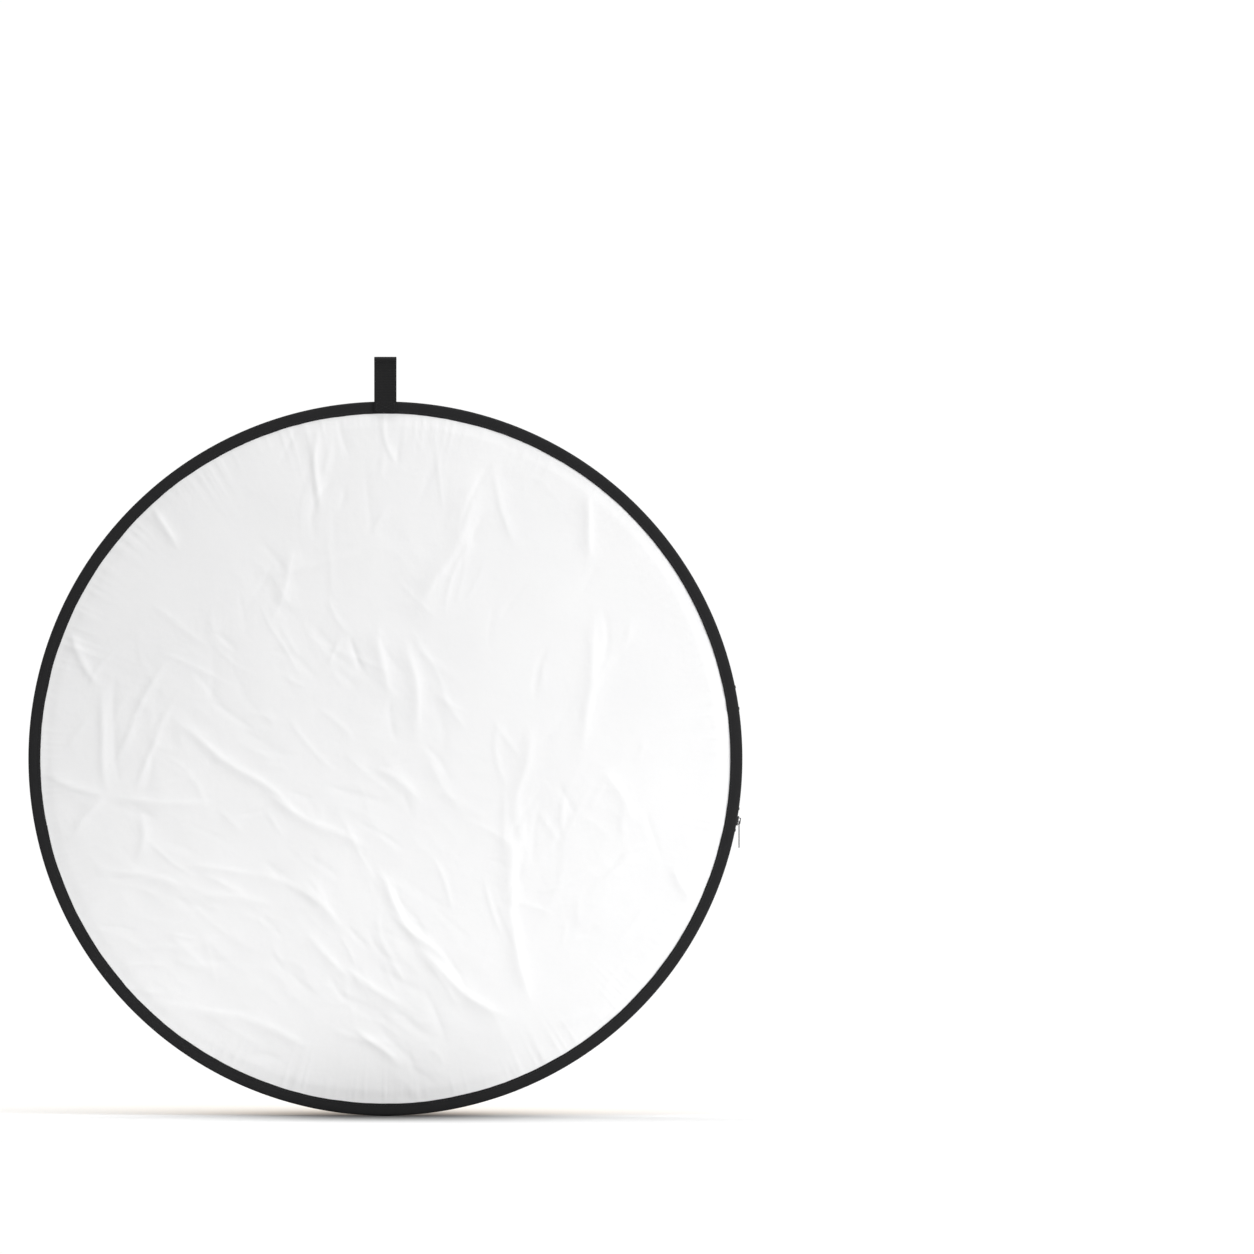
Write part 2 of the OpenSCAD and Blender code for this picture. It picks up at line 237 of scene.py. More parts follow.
# shader helpers: a socket that takes part in sums, each operator adding a Math node
class Wire:
    def __init__(self, nodes, socket):
        self.nodes = nodes
        self.socket = socket

    def math(self, operation, *values):
        return self.nodes.add("Math", {"operation": operation}, dict(enumerate(values)))

    def __add__(self, other):
        return self.math("ADD", self, other)

    def __radd__(self, other):
        return self.math("ADD", other, self)

    def __sub__(self, other):
        return self.math("SUBTRACT", self, other)

    def __rsub__(self, other):
        return self.math("SUBTRACT", other, self)

    def __mul__(self, other):
        return self.math("MULTIPLY", self, other)

    def __rmul__(self, other):
        return self.math("MULTIPLY", other, self)


# a node tree, cleared, and the one method that adds a node: its type, its settings, then its inputs
class Nodes:
    def __init__(self, tree):
        self.tree = tree
        self.tree.nodes.clear()

    def add(self, kind, settings=None, inputs=None, result=0):
        node = self.tree.nodes.new("ShaderNode" + kind)
        for key, value in (settings or {}).items():
            setattr(node, key, value)
        for key, value in (inputs or {}).items():
            if isinstance(value, Wire):
                self.tree.links.new(value.socket, node.inputs[key])
            else:
                node.inputs[key].default_value = value
        return Wire(self, node.outputs[result] if len(node.outputs) else None)


# one material, with a Principled shader whose unvarying values are given by name
class Finish(Nodes):
    def __init__(self, name, **constants):
        self.material = bpy.data.materials.new(name)
        self.material.use_nodes = True
        super().__init__(self.material.node_tree)
        values = {socket.replace("_", " "): value for socket, value in constants.items()}
        self.shader = self.add("BsdfPrincipled", {}, values)

    def feed(self, socket, wire):
        self.tree.links.new(wire.socket, self.shader.socket.node.inputs[socket])

    def end(self, surface=None):
        self.add("OutputMaterial", {}, {"Surface": surface or self.shader})
        return self.material

    # object coordinates, turned first and then scaled
    def place(self, scale=(1, 1, 1), turn=(0, 0, 0)):
        spot = self.add("TexCoord", result="Object")
        turned = self.add("Mapping", {}, {"Vector": spot, "Rotation": turn})
        return self.add("Mapping", {}, {"Vector": turned, "Scale": scale})

    def split(self, vector):
        sockets = self.add("SeparateXYZ", {}, {0: vector}).socket.node.outputs
        return [Wire(self, socket) for socket in sockets]

    # the piece's own map, in metres along and round it
    def along(self):
        return self.split(self.add("UVMap", {"uv_map": "along"}))[:2]

    def noise(self, vector, scale, detail=3.0, roughness=0.55):
        inputs = {"Vector": vector, "Scale": scale, "Detail": detail, "Roughness": roughness}
        return self.add("TexNoise", {}, inputs)

    def ramp(self, factor, *stops):
        wire = self.add("ValToRGB", {}, {"Fac": factor})
        elements = wire.socket.node.color_ramp.elements
        while len(elements) < len(stops):
            elements.new(0.5)
        for element, (position, color) in zip(elements, stops):
            element.position = position
            element.color = (*color, 1)
        return wire

    def mix(self, factor, first, second):
        first, second = (value if isinstance(value, Wire) else (*value, 1) for value in (first, second))
        return self.add("Mix", {"data_type": "RGBA"}, {0: factor, 6: first, 7: second}, 2)

    def sine(self, wire, period):
        return wire.math("SINE", wire * (2 * math.pi / period))

    def vector(self, operation, first, second=None, result=0):
        inputs = {0: first} if second is None else {0: first, 1: second}
        return self.add("VectorMath", {"operation": operation}, inputs, result)

    def bump(self, height, distance, strength=1.0, normal=None):
        inputs = {"Height": height, "Distance": distance, "Strength": strength}
        if normal:
            inputs["Normal"] = normal
        return self.add("Bump", {}, inputs)


# finishes, first plain-woven cloth: mottled colour, a fine net of threads and a little slubbing
def wovenCloth(name, dark, light, roughness, thread, sheen, specular):
    cloth = Finish(name, Sheen_Weight=sheen, Sheen_Roughness=0.5, Specular_IOR_Level=specular)
    spot = cloth.place()
    x, _, z = cloth.split(spot)
    net = cloth.sine(x, thread) * cloth.sine(z, thread) * 0.5 + 0.5
    mottle = cloth.noise(spot, 7.0, 4.0)
    slub = cloth.noise(cloth.place((1, 1, 14)), 60.0, 2.0)
    cloth.feed("Base Color", cloth.mix(mottle * 0.8 + slub * 0.2, dark, light))
    cloth.feed("Roughness", mottle * 0.16 + (roughness - 0.08))
    crumple = cloth.noise(spot, 130.0, 3.0, 0.5)
    soft = cloth.bump(crumple, 0.0004, 0.35)
    cloth.feed("Normal", cloth.bump(net * 0.7 + slub * 0.3, thread * 0.1, 0.5, soft))
    return cloth.end()


# metal-coated cloth: a leathery grain that runs at a slant, deeper in colour towards the bottom and paler
# towards the top as a painted highlight; its grain carries painted shade and a painted glint
def foilCloth(name, toneAndPaintedLight, shade, paintedGlint, tilt):
    foil = Finish(name, Specular_IOR_Level=0.4)
    spot = foil.place()
    x, _, z = foil.split(spot)
    grainPlace = foil.place((1.0, 1.0, 2.3), (0, tilt, 0))
    folds = foil.noise(grainPlace, 200.0, 2.0, 0.5)
    finer = foil.noise(grainPlace, 480.0, 2.0, 0.5)
    grain = folds * 0.68 + finer * 0.32
    patches = foil.noise(foil.place((1.0, 1.0, 2.6), (0, tilt * 1.2, 0)), 7.0, 3.0)
    # where the colour ramp stands: random patches, plus a painted highlight that makes the foil paler towards
    # the top and to one side
    height = (z - discZ) * (0.5 / rimR) + (x - discX) * (0.35 * tilt) + patches * 0.6 + 0.2
    body = foil.ramp(height, *toneAndPaintedLight)
    # painted shade in the grain's hollows and a painted glint on its crests, mixed in by the grain below
    low = foil.mix(0.62, body, shade)
    high = foil.mix(0.30, body, paintedGlint)
    foil.feed("Base Color", foil.mix(foil.ramp(grain, (0.34, (0, 0, 0)), (0.62, (1, 1, 1))), low, high))
    foil.feed("Metallic", folds * 0.1 + 0.84)
    foil.feed("Roughness", patches * 0.14 + 0.34)
    broad = foil.bump(foil.noise(spot, 24.0, 3.0), 0.006, 0.4)
    foil.feed("Normal", foil.bump(grain, 0.0028, 1.0, broad))
    return foil.end()


# thin white cloth that lets light through: part reflecting, part passing light
def diffuserCloth():
    cloth = Finish("diffuserSilk", Sheen_Weight=0.2, Specular_IOR_Level=0.45)
    spot = cloth.place()
    x, _, z = cloth.split(spot)
    net = cloth.sine(x, 0.0009) * cloth.sine(z, 0.0009) * 0.5 + 0.5
    cloud = cloth.noise(spot, 5.0, 3.0)
    folded = cloth.place((1.25, 1, 0.8), (0, 0.5, 0))
    facets = cloth.add("TexVoronoi", {}, {"Vector": folded, "Scale": 7.5}, "Color")
    # each folded facet a little lighter or darker: painted sheen on the facets, mixed with the cloth's random
    # cloudy tone
    shade = cloth.split(facets)[0]
    toneAndPaintedSheen = cloth.mix(cloud * 0.6 + shade * 0.4, (0.80, 0.805, 0.85), (0.92, 0.92, 0.94))
    cloth.feed("Base Color", toneAndPaintedSheen)
    cloth.feed("Roughness", cloud * 0.2 + 0.2)
    tilt = cloth.vector("SUBTRACT", facets, (0.5, 0.5, 0.5))
    tilt = cloth.vector("MULTIPLY", tilt, (0.3, 0.3, 0.3))
    tilt = cloth.vector("ADD", cloth.add("NewGeometry", result="Normal"), tilt)
    soft = cloth.bump(cloth.noise(spot, 45.0, 3.0), 0.001, 0.3, cloth.vector("NORMALIZE", tilt))
    normal = cloth.bump(net, 0.00006, 0.4, soft)
    cloth.feed("Normal", normal)
    through = cloth.add("BsdfTranslucent", {}, {"Color": (0.87, 0.87, 0.90, 1), "Normal": normal})
    return cloth.end(cloth.add("MixShader", {}, {0: cloud * 0.1 + 0.33, 1: cloth.shader, 2: through}))


# woven black tape: ribs across its length, fine threads along it and a dusty bloom
def ribbedTape(name, rib, dark, light):
    tape = Finish(name, Sheen_Weight=0.02, Sheen_Roughness=0.6, Specular_IOR_Level=0.08)
    along, around = tape.along()
    ribs = tape.sine(along, rib) * 0.5 + 0.5
    threads = tape.sine(around, rib * 0.8) * 0.5 + 0.5
    bloom = tape.noise(tape.place(), 24.0, 4.0)
    tape.feed("Base Color", tape.mix(bloom * 0.55 + ribs * 0.3 + threads * 0.15, dark, light))
    tape.feed("Roughness", bloom * 0.2 + 0.68)
    tape.feed("Normal", tape.bump(ribs * 0.7 + threads * 0.3, rib * 0.16, 0.8))
    return tape.end()


# twisted black sewing thread
def threadFinish():
    thread = Finish("sewingThread", Specular_IOR_Level=0.2)
    twist = thread.noise(thread.place(), 900.0, 2.0)
    thread.feed("Base Color", thread.mix(twist, (0.008, 0.008, 0.009), (0.032, 0.032, 0.034)))
    thread.feed("Roughness", twist * 0.2 + 0.55)
    return thread.end()


# metal with fine scratches; painted where metallic is low
def metalFinish(name, dark, light, metallic, roughness, scratch):
    metal = Finish(name, Metallic=metallic, Specular_IOR_Level=0.4)
    spot = metal.place()
    wear = metal.noise(spot, 90.0, 4.0)
    lines = metal.noise(metal.place((1, 12, 1)), 260.0, 2.0)
    metal.feed("Base Color", metal.mix(wear * 0.6 + lines * 0.4, dark, light))
    metal.feed("Roughness", wear * 0.2 + (roughness - 0.1))
    metal.feed("Normal", metal.bump(lines, scratch, 0.4))
    return metal.end()


# moulded black nylon
def nylonFinish():
    nylon = Finish("coilNylon", Specular_IOR_Level=0.35)
    grain = nylon.noise(nylon.place(), 400.0, 2.0)
    nylon.feed("Base Color", nylon.mix(grain, (0.014, 0.014, 0.015), (0.03, 0.03, 0.032)))
    nylon.feed("Roughness", grain * 0.15 + 0.36)
    return nylon.end()


whiteFinish = wovenCloth("whiteSatin", (0.83, 0.83, 0.835), (0.90, 0.90, 0.90),
                         roughness=0.56, thread=0.9 * mm, sheen=0.1, specular=0.3)
blackFinish = wovenCloth("blackCloth", (0.012, 0.012, 0.0125), (0.019, 0.019, 0.0195),
                         roughness=0.85, thread=0.9 * mm, sheen=0.03, specular=0.06)
zipTapeFinish = wovenCloth("zipTapeCloth", (0.012, 0.012, 0.0125), (0.022, 0.022, 0.023),
                           roughness=0.8, thread=0.7 * mm, sheen=0.03, specular=0.12)
# foil colours from deep to pale: the foil's own tone, and a painted highlight where the pale stops fall towards
# the top
goldToneAndPaintedLight = [(0.12, (0.52, 0.19, 0.014)), (0.36, (0.62, 0.34, 0.048)), (0.60, (0.72, 0.55, 0.13)),
             (0.92, (0.96, 0.88, 0.42))]
silverToneAndPaintedLight = [(0.18, (0.36, 0.36, 0.37)), (0.38, (0.52, 0.52, 0.53)), (0.50, (0.80, 0.80, 0.805)),
               (0.72, (0.70, 0.70, 0.705)), (0.90, (0.90, 0.90, 0.90))]
goldFinish = foilCloth("goldFoil", goldToneAndPaintedLight, shade=(0.26, 0.11, 0.015), paintedGlint=(1.0, 0.82, 0.32), tilt=-0.62)
silverFinish = foilCloth("silverFoil", silverToneAndPaintedLight, shade=(0.26, 0.26, 0.265), paintedGlint=(0.90, 0.90, 0.905),
                         tilt=0.62)
diffuserFinish = diffuserCloth()
bindingFinish = ribbedTape("bindingTape", 1.1 * mm, (0.010, 0.010, 0.0105), (0.024, 0.024, 0.025))
webbingFinish = ribbedTape("webbing", 1.8 * mm, (0.007, 0.007, 0.0073), (0.021, 0.021, 0.0215))
threadBlack = threadFinish()
coilFinish = nylonFinish()
zipMetal = metalFinish("blackEnamel", (0.012, 0.012, 0.013), (0.035, 0.035, 0.037),
                       metallic=0.2, roughness=0.34, scratch=0.05 * mm)
springSteel = metalFinish("springSteel", (0.42, 0.42, 0.44), (0.62, 0.62, 0.64),
                          metallic=1.0, roughness=0.34, scratch=0.08 * mm)
rivetMetal = metalFinish("rivetAluminium", (0.62, 0.62, 0.64), (0.78, 0.78, 0.80),
                         metallic=1.0, roughness=0.36, scratch=0.06 * mm)
print("reflector: finishes made")

# cloth faces
net = {"count": 310, "backCount": 200}             # points across a cloth, and across the plain black one
sewn = {"cover": 5 * mm, "lining": 10.5 * mm, "core": 1.5 * mm}     # how far each cloth goes on past its lip
# a cover cloth's depth under the rim's face, its lowest and its swell; a lining's depth and its dip
relief = {"sink": 0.95 * mm, "fall": 0.1 * mm, "swell": 0.9 * mm, "hug": 1.65 * mm, "dip": 0.9 * mm}


# a round sheet: heightOf gives its height above the middle plane at each point of a round net
def clothPiece(name, heightOf, radius, side, material, count):
    x, z = roundNet(count, radius)
    height = heightOf(x, z)
    points = np.stack([discX + x, discY - height * np.ones_like(x), discZ + z], axis=-1)
    faces, _ = gridCorners(count, count)
    return addMesh(name, points, [faces], None, material, flip=side > 0)


# the cloth stands for its node, goes with its body and is held stretched by the rim it is sewn into
def declareCloth(piece, node, body):
    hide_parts(node)
    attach(piece, body)


# x and z of both ends as shares of the radius, bend, width and rise in millimetres
whiteCreases = {
    "longDiagonals": [(-0.62, 0.11, -0.24, -0.18, 0.03, 7, 1.3), (-0.36, -0.11, -0.04, -0.27, 0.02, 6, 1.1),
                      (-0.03, -0.31, 0.20, -0.60, -0.05, 7, 1.4), (0.08, -0.52, 0.38, -0.75, -0.08, 8, 1.5)],
    "lowerLeft": [(-0.84, -0.31, -0.52, -0.40, 0.05, 8, 1.1), (-0.58, -0.40, -0.30, -0.43, 0.05, 8, 1.0),
                  (-0.59, -0.31, -0.36, -0.34, 0.04, 6, 0.9), (-0.39, -0.33, -0.11, -0.51, 0.12, 7, 1.2),
                  (-0.68, -0.54, -0.36, -0.50, -0.04, 9, 0.8), (-0.66, -0.70, -0.40, -0.78, 0.04, 8, 1.1),
                  (-0.44, -0.75, -0.20, -0.83, 0.03, 7, 1.0), (-0.13, -0.59, 0.07, -0.73, -0.03, 6, 1.1),
                  (-0.09, -0.77, 0.05, -0.90, 0.02, 5, 1.1), (-0.24, -0.50, -0.09, -0.66, 0.04, 6, 0.8)],
    "rightFolds": [(0.35, -0.18, 0.34, -0.50, 0.04, 11, 1.5), (0.34, -0.42, 0.42, -0.72, 0.03, 8, 1.4),
                   (0.42, 0.12, 0.38, -0.30, -0.03, 9, 0.9), (0.60, 0.42, 0.57, -0.02, 0.02, 8, 1.1),
                   (0.58, 0.78, 0.58, 0.55, 0.02, 7, 1.1), (0.62, -0.02, 0.72, -0.20, 0.05, 8, 0.8),
                   (0.83, -0.30, 0.92, -0.42, -0.1, 6, 0.8), (0.46, -0.80, 0.80, -0.58, -0.04, 12, 0.9)],
    "upper": [(0.28, 0.84, 0.08, 0.38, 0.03, 12, 1.3), (0.06, 0.36, 0.10, 0.02, 0.03, 9, 1.1),
              (-0.02, 0.40, 0.02, 0.16, -0.02, 8, 0.9), (-0.19, 0.97, -0.20, 0.70, 0.02, 6, 1.2),
              (-0.26, 0.62, -0.34, 0.38, 0.05, 7, 0.7), (-0.05, 0.62, -0.36, 0.52, 0.06, 8, 0.7),
              (0.38, 0.60, 0.30, 0.86, 0.02, 6, 0.6), (-0.04, -0.02, 0.12, -0.12, 0.05, 7, 0.9)],
    "leftStar": [(-0.80, -0.11, -0.99, -0.03, 0.04, 6, 1.2), (-0.80, -0.11, -0.50, -0.12, -0.03, 6, 1.1),
                 (-0.80, -0.11, -0.90, -0.24, -0.1, 6, 0.9), (-0.80, -0.11, -0.82, 0.22, 0.06, 5, 0.9),
                 (-0.83, 0.20, -0.92, 0.40, 0.04, 5, 1.0), (-0.79, -0.02, -0.62, 0.31, 0.03, 5, 0.9),
                 (-0.73, -0.30, -0.72, -0.14, -0.1, 7, 0.8), (-0.68, 0.73, -0.60, 0.60, 0.02, 5, 1.0)],
}


# middle, reach and lean of the patches that are full of small creases
crumpleZones = [(-0.30, 0.36, 0.16, -50), (-0.10, -0.30, 0.22, -38), (-0.62, -0.35, 0.18, -14),
                (0.15, -0.45, 0.16, -52), (-0.35, 0.06, 0.14, -20), (-0.25, -0.45, 0.20, -35),
                (0.05, -0.62, 0.16, -45), (-0.55, -0.62, 0.16, -12), (0.42, -0.25, 0.14, 84),
                (0.50, 0.20, 0.20, 80), (0.10, 0.05, 0.18, -50), (-0.70, 0.15, 0.12, 70),
                (0.10, 0.62, 0.20, 66), (0.62, -0.40, 0.14, 50), (-0.10, 0.85, 0.14, 80)]


# the cover's face: relief above the level it is sewn at, flattened towards the rim
def coverFace(r, height, blend, most):
    inward = smooth(rimInR - r, -2 * mm, blend)
    raised = np.clip(height + relief["swell"] * inward, -relief["fall"], most)
    return faceH - relief["sink"] + raised * (0.35 + 0.65 * inward)


# level cloth, raised in creases, with crumpled patches and pleats at the edge
def whiteHeight(x, z):
    height = creaseHeight(x, z, smallCreases(264, seed=17, zones=crumpleZones, longest=0.26), rimInR)
    for group in whiteCreases.values():
        height += creaseHeight(x, z, group, rimInR)
    slantX, slantZ = x * 0.80 - z * 0.60, (z * 0.80 + x * 0.60) * 1.9
    patches = smooth(drift(x, z, 0.15, 11) - (x + z) * 0.8, -0.3, 0.7)
    crumple = (0.5 - np.abs(drift(slantX, slantZ, 0.05, 12))) * 0.45 * patches + drift(x, z, 0.016, 13) * 0.04
    swell = drift(x, z, 0.07, 14) * 0.5 + drift(x, z, 0.16, 15) * 1.2
    height += (crumple + swell * 0.7) * mm
    height += puckers(x, z, rimInR, 0.9 * mm, 21)
    return coverFace(np.hypot(x, z), height, 16 * mm, 4 * mm)


coverR = rimInR + sewn["cover"]                    # under the binding's face
liningR = rimInR + sewn["lining"]                  # reaching the zip tape inside
whiteCloth = clothPiece("whiteCloth", whiteHeight, coverR, 1, whiteFinish, net["count"])
declareCloth(whiteCloth, "white_cloth", "front_panel")
print("reflector: white cloth laid")


# a lining hugs the cloth outside it, and dips towards the core away from the rim and the core's tab
def liningHeight(x, z, seed):
    clear = (1 - smooth(np.hypot(x, z), 0.29, 0.36)) * 0.95 + 0.05
    waves = (drift(x, z, 0.07, seed) * 0.5 + drift(x, z, 0.16, seed + 1) * 0.9
             + (1 - 2 * np.abs(drift(x, z, 0.03, seed + 2))) * 0.25)
    return faceH - relief["hug"] - relief["dip"] * np.clip(waves + 0.8, 0, 2) * clear


def blackHeight(x, z):
    return liningHeight(x, z, 31)


def silverHeight(x, z):
    return -liningHeight(x, z, 51)


blackCloth = clothPiece("blackCloth", blackHeight, liningR, -1, blackFinish, net["backCount"])
declareCloth(blackCloth, "black_cloth", "front_panel")


# foil-coated cloth: tight, with a slanted grain of shallow crumples
def goldHeight(x, z):
    turnX, turnZ = x * 0.82 - z * 0.57, z * 0.82 + x * 0.57
    grain = (1 - 2 * np.abs(drift(turnX, turnZ * 1.8, 0.011, 41))) * 0.30
    waves = drift(turnX, turnZ * 1.6, 0.035, 42) * 0.35 + drift(x, z, 0.12, 43) * 0.8
    height = (grain + waves) * mm + puckers(x, z, rimInR, 0.6 * mm, 45)
    return -coverFace(np.hypot(x, z), height, 12 * mm, 3 * mm)


goldCloth = clothPiece("goldCloth", goldHeight, coverR, -1, goldFinish, net["count"])
declareCloth(goldCloth, "gold_cloth", "back_panel")
silverCloth = clothPiece("silverCloth", silverHeight, liningR, 1, silverFinish, net["count"])
declareCloth(silverCloth, "silver_cloth", "back_panel")
print("reflector: black, gold and silver cloths laid")

# the core's cloth: folded for storage, so straight sharp creases cross it
coreCreases = [(-0.9, 0.2, 0.6, 0.75, 0.0, 5, 1.2), (-0.5, 0.85, 0.35, -0.9, 0.0, 5, 1.3),
               (-0.95, -0.25, 0.95, 0.1, 0.0, 4, 1.1), (0.1, 0.98, 0.75, -0.65, 0.0, 5, 1.2),
               (-0.75, -0.6, 0.55, 0.3, 0.0, 4, 1.0), (-0.2, 0.3, 0.9, -0.4, 0.0, 5, 1.1),
               (0.45, 0.85, 0.98, -0.1, 0.0, 4, 1.0), (-0.85, 0.5, 0.1, 0.05, 0.0, 5, 1.1),
               (-0.4, -0.9, 0.6, -0.75, 0.0, 5, 1.0), (-0.1, -0.2, -0.6, -0.8, 0.0, 4, 1.2)]


# flat facets between straight folds: zigzags in four directions, added up, and puckers at the edge
def diffuserHeight(x, z):
    r = np.hypot(x, z)
    facets = np.zeros_like(x)
    for turn, pitch, seed in ((0.5, 0.21, 3), (1.55, 0.26, 4), (2.5, 0.17, 6), (0.95, 0.13, 7)):
        line = (x * math.cos(turn) + z * math.sin(turn)) / pitch + 0.5 * drift(x, z, 0.25, 60 + seed)
        facets += np.abs(line - np.round(line)) * pitch * 14
    height = (facets - 4.6 + drift(x, z, 0.10, 62) * 0.5) * 0.55 * mm
    height += creaseHeight(x, z, coreCreases, coreInR) * 1.5 + puckers(x, z, coreInR, 0.7 * mm, 63)
    nearTab = smooth(0.022 - np.abs(x), -0.02, 0.006) * smooth(z, 0.27, 0.31)
    limit = 2.9 * mm - 1.4 * mm * nearTab
    return limit * np.tanh(height / limit) * smooth(coreInR - r, -2 * mm, 14 * mm)


coreClothR = coreInR + sewn["core"]
diffuser = clothPiece("diffuserCloth", diffuserHeight, coreClothR, 1, diffuserFinish, net["count"])
declareCloth(diffuser, "diffuser_cloth", "core")
print("reflector: core cloth laid")

# bindings
binding = {"steps": 720, "waver": 0.22 * mm, "lip": 0.55 * mm, "wall": 1.0 * mm, "shoulder": 2.2 * mm,
           "end": 3.8 * mm}


# a closed (r, h) section carried round the disc, its inner edge straying a little
def ringSweep(name, section, fromDeg, toDeg, steps, material, waver=0.0, seed=1, flip=False):
    closed = abs(toDeg - fromDeg) >= 360
    angle = np.radians(np.linspace(fromDeg, toDeg, steps, endpoint=not closed))
    r = np.repeat(section[None, :, 0], steps, axis=0)
    h = np.repeat(section[None, :, 1], steps, axis=0)
    inner = 1 - smooth(r, rimInR, rimInR + 7 * mm)
    around = np.abs(((angle + np.pi) % (2 * np.pi)) - np.pi) if closed else angle
    walk, row = around * 0.4, np.zeros_like(around)
    stray = drift(walk, row, 0.03, seed) + 0.6 * drift(walk, row + 3, 0.011, seed + 1)
    r = r + waver * stray[:, None] * inner
    h = h + 0.4 * waver * np.sign(h) * drift(walk, row + 7, 0.016, seed + 2)[:, None]
    step = math.radians(abs(toDeg - fromDeg)) / steps * rimR
    lengths = np.arange(steps + closed) * step
    return sweep(name, discPoint(r, angle[:, None], h), lengths, material, closed, flip)


# folded tape over the cloth's edge: a soft bead at the inner lip, a dip at the stitches, a round shoulder
def coverSection(side):
    wall, lip, shoulder, end = (binding[key] for key in ("wall", "lip", "shoulder", "end"))
    low = faceH - wall
    top = [(stitchR + 2.2 * mm, faceH + 0.12 * mm), (stitchR + 0.3 * mm, faceH - 0.22 * mm),
           (stitchR - 0.75 * mm, faceH - 0.02 * mm)]
    outline = np.concatenate([
        [(rimInR - 0.2 * mm, low + 0.1 * mm), (rimInR + 6 * mm, low), (rimR - wall - 0.4 * mm, low),
         (rimR - wall, low - 0.5 * mm), (rimR - wall, end + 0.2 * mm)],
        arc(rimR - wall / 2, end + wall / 2 * 0.7, wall / 2, 200, 340, 4),
        [(rimR, end + 1.0 * mm)],
        arc(rimR - shoulder, faceH - shoulder + 0.1 * mm, shoulder, 0, 90, 7),
        [(rimR - 5 * mm, faceH + 0.16 * mm)],
        top,
        arc(rimInR - lip * 0.4, low + lip * 0.75, lip * 0.75, 100, 215, 5)])
    outline[:, 1] *= side
    return outline


frontBinding = ringSweep("frontBinding", coverSection(1), 0, 360, binding["steps"], bindingFinish,
                         binding["waver"], 71, flip=True)
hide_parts("front_binding")
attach(frontBinding, "front_panel")
backBinding = ringSweep("backBinding", coverSection(-1), 0, 360, binding["steps"], bindingFinish,
                        binding["waver"], 81)
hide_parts("back_binding")
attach(backBinding, "back_panel")

# the core's binding: a folded tape whose two layers lie on the cloth, then part round the hoop's pocket
seamR, seamH = coreInR + 0.7 * mm, 0.25 * mm
pocketIn, pocketOut, pocketSide = coreR - 4.4 * mm, coreR - 0.9 * mm, coreH - 0.9 * mm
coreOutline = np.concatenate([
    arc(seamR, 0.75 * mm, 0.45 * mm, 180, 90, 4),
    [(coreInR + 2.0 * mm, 1.0 * mm), (coreInR + 4.2 * mm, 1.35 * mm), (pocketIn - 1.2 * mm, coreH - 0.6 * mm),
     (pocketIn + 0.3 * mm, coreH - 0.05 * mm)],
    arc(coreR - 2.2 * mm, coreH - 2.2 * mm, 2.2 * mm, 90, 0, 6)])
mirrored = coreOutline[::-1] * (1, -1)
pocket = np.array([(seamR, -seamH), (pocketIn - 0.8 * mm, -seamH), (pocketIn, -pocketSide),
                   (pocketOut, -pocketSide), (pocketOut, pocketSide), (pocketIn, pocketSide),
                   (pocketIn - 0.8 * mm, seamH), (seamR, seamH)])
coreSection = np.concatenate([coreOutline, mirrored, pocket])
coreBinding = ringSweep("coreBinding", coreSection, 0, 360, binding["steps"], bindingFinish, 0.0, 91)
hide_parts("core_binding")
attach(coreBinding, "core")
print("reflector: bindings folded")

# stitches
stitch = {"pitch": 3.4 * mm, "length": 2.5 * mm, "thread": 0.26 * mm, "slant": 0.10,
          "tabPitch": 2.3 * mm, "tabLength": 1.75 * mm}


# one stitch: an arched thread, six-sided, thinning to its two ends where it enters the cloth
def stitchTemplate(length, thread):
    t = np.linspace(-1, 1, 6)
    along, rise = t * length / 2, thread * (0.75 * (1 - t ** 4) - 0.35)
    radius = thread * np.sqrt(np.clip(1.02 - t ** 6, 0.05, 1))
    a = np.linspace(0, 2 * np.pi, 7)[:-1]
    ring = np.stack([np.repeat(along[:, None], 6, 1), np.cos(a) * radius[:, None],
                     rise[:, None] + np.sin(a) * radius[:, None] * 0.8], axis=-1)
    faces, _ = gridCorners(6, 6, False, True)
    ends = np.stack([np.arange(6)[::-1], 30 + np.arange(6)])
    return ring.reshape(-1, 3), faces, ends


# a stitch at each origin, lying along forward and rising along up
def sewRow(name, origins, forward, up, material, length):
    points, faces, ends = stitchTemplate(length, stitch["thread"])
    side = np.cross(up, forward)
    frames = np.stack([forward, side, up], axis=1)
    placed = np.einsum("pk,nkx->npx", points, frames) + origins[:, None]
    shift = (np.arange(len(origins)) * len(points))[:, None, None]
    return addMesh(name, placed, [(faces[None] + shift).reshape(-1, 4), (ends[None] + shift).reshape(-1, 6)],
                   None, material)


# stitches along a circle, leaving out gapDeg either side of the top
def ringStitches(name, radius, height, side, gapDeg, material):
    count = int(2 * math.pi * radius / stitch["pitch"])
    angle = np.arange(count) * 2 * np.pi / count
    if gapDeg:
        angle = angle[np.abs(np.degrees(angle) - 90) > gapDeg]
    lean = stitch["slant"]
    tangent = np.stack([-np.sin(angle + lean), 0 * angle, np.cos(angle + lean)], axis=1)
    up = np.tile([0.0, -side, 0.0], (len(angle), 1))
    return sewRow(name, discPoint(radius, angle, height * side), tangent, up, material, stitch["length"])


